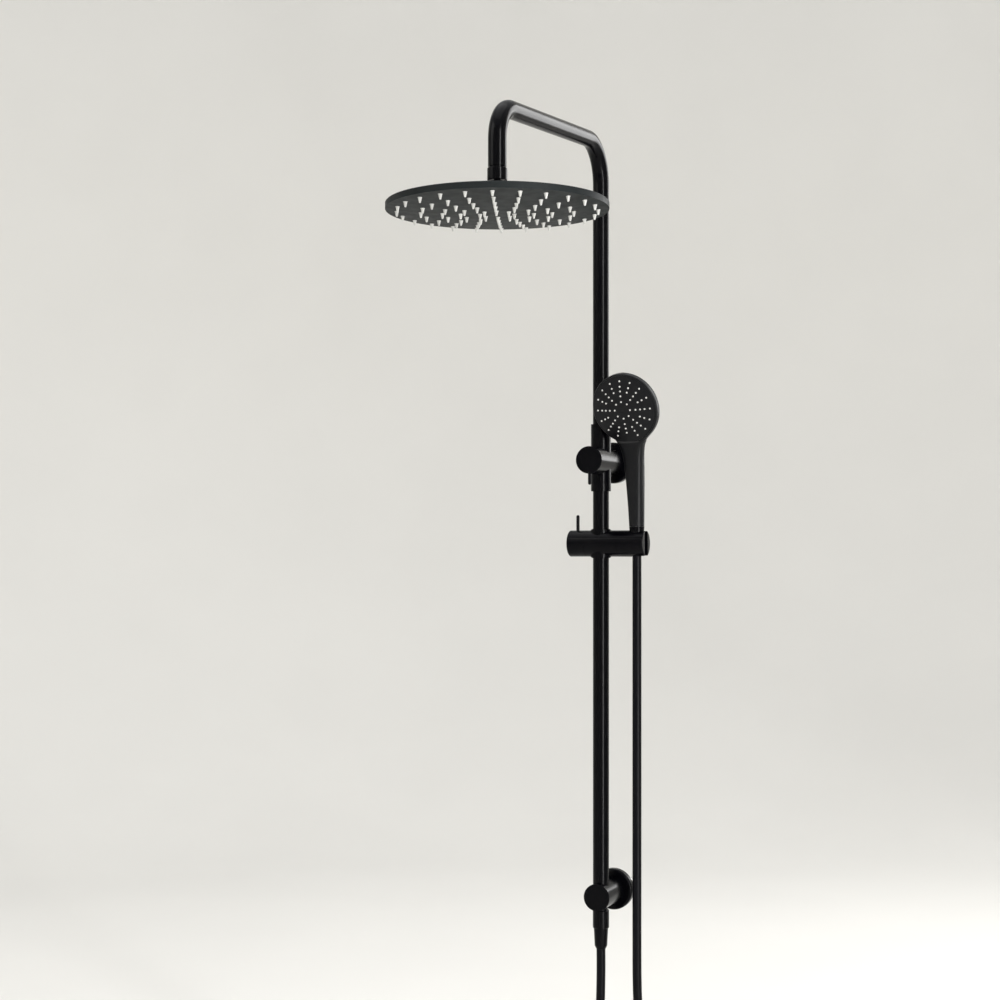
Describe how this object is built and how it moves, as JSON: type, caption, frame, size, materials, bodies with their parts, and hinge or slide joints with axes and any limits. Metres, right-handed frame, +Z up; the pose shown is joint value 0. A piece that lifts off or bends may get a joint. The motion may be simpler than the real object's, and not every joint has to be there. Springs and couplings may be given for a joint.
{
  "type": "rainfall shower column",
  "caption": "Wall-mounted shower column with a gooseneck arm and round rain head, a diverter, and a sliding holder with a handset on a hose.",
  "frame": {"origin": "on the finished wall, on the axis of the upper bracket's inlet nipple", "axes": "+Z up along the pole, +Y into the wall along the inlet nipple, +X to the right for a person who faces the wall"},
  "size_m": [0.3, 0.67, 1.666],
  "materials": {
    "satin_black": "satin",
    "head_black": "satin",
    "handset_black": "satin",
    "grey_silicone": "matte",
    "raw_brass": "machined",
    "stainless": "brushed",
    "black_rubber": "matte",
    "white_nylon": "moulded",
    "grey_nylon": "moulded",
    "hose_black": "smooth"
  },
  "bodies": {
    "column": {"diverter_body": "satin_black", "wall_nipple": "raw_brass", "inlet_washer": "black_rubber", "upper_flange": "satin_black", "sleeve_screws": "stainless", "diverter_cartridge": "white_nylon", "cartridge_nut": "raw_brass", "pole": "satin_black", "pole_spigots": "raw_brass", "pole_o_rings": "black_rubber", "foot_body": "satin_black", "foot_cap": "satin_black", "foot_flange": "satin_black", "wall_plate": "stainless", "wall_screws": "stainless", "foot_screw": "stainless", "outlet_nipple": "satin_black", "outlet_washer": "black_rubber", "outlet_nut": "satin_black", "hose": "hose_black"},
    "arm": {"riser": "satin_black", "riser_spigot": "raw_brass", "riser_o_rings": "black_rubber", "arm_nipple": "satin_black", "swivel_nut": "satin_black", "nut_washer": "black_rubber"},
    "ball_seat": {"ball_ring": "white_nylon"},
    "ball": {"ball_joint": "satin_black"},
    "rain_head": {"head_shell": "head_black", "head_seal": "black_rubber", "head_plate": "head_black", "head_nozzles": "grey_silicone"},
    "diverter_handle": {"diverter_spindle": "raw_brass", "diverter_knob": "satin_black", "diverter_pin": "satin_black"},
    "slider": {"slider_body": "satin_black", "slide_bush": "grey_nylon", "brake_pad": "black_rubber", "holder_washer": "white_nylon"},
    "clamp": {"clamp_screw": "stainless", "clamp_knob": "satin_black", "clamp_pin": "satin_black"},
    "cradle": {"holder": "satin_black", "holder_pivot": "stainless"},
    "hose_end": {"cone_nut": "satin_black", "handset_washer": "black_rubber"},
    "handset": {"handset_core": "white_nylon", "handset_shell": "handset_black", "handset_seal": "black_rubber", "handset_face": "handset_black", "handset_nozzles": "grey_silicone"}
  },
  "joints": [
    {"name": "arm_swivel", "type": "hinge", "parent": "column", "child": "arm", "pos_m": [0, -0.065, 0.05], "axis": [0, 0, 1], "range_deg": [-75, 75]},
    {"name": "head_tilt_sideways", "type": "hinge", "parent": "arm", "child": "ball_seat", "pos_m": [0, -0.485, 0.36443], "axis": [0, 1, 0], "range_deg": [-12, 12]},
    {"name": "head_tilt_forward", "type": "hinge", "parent": "ball_seat", "child": "ball", "pos_m": [0, -0.485, 0.36443], "axis": [1, 0, 0], "range_deg": [-12, 12]},
    {"name": "head_spin", "type": "hinge", "parent": "ball", "child": "rain_head", "pos_m": [0, -0.485, 0.32773], "axis": [0, 0, 1], "continuous": true},
    {"name": "diverter_turn", "type": "hinge", "parent": "column", "child": "diverter_handle", "pos_m": [0, -0.1, 0], "axis": [0, 1, 0], "range_deg": [-90, 90]},
    {"name": "slider_slide", "type": "slide", "parent": "column", "child": "slider", "axis": [0, 0, 1], "range_m": [-0.02, 0.058], "deforming": ["hose"]},
    {"name": "clamp_turn", "type": "hinge", "parent": "slider", "child": "clamp", "pos_m": [-0.035, -0.065, -0.1277], "axis": [1, 0, 0], "range_deg": [0, 90]},
    {"name": "cradle_tilt", "type": "hinge", "parent": "slider", "child": "cradle", "pos_m": [0.03, -0.065, -0.1277], "axis": [1, 0, 0], "range_deg": [0, 30], "deforming": ["hose"]},
    {"name": "handset_lift", "type": "slide", "parent": "cradle", "child": "hose_end", "axis": [0, -0.0349, 0.9994], "range_m": [0, 0.1], "deforming": ["hose"]},
    {"name": "handset_turn", "type": "hinge", "parent": "hose_end", "child": "handset", "pos_m": [0.0587, -0.065, -0.1277], "axis": [0, -0.0349, 0.9994], "range_deg": [0, 90]}
  ]
}
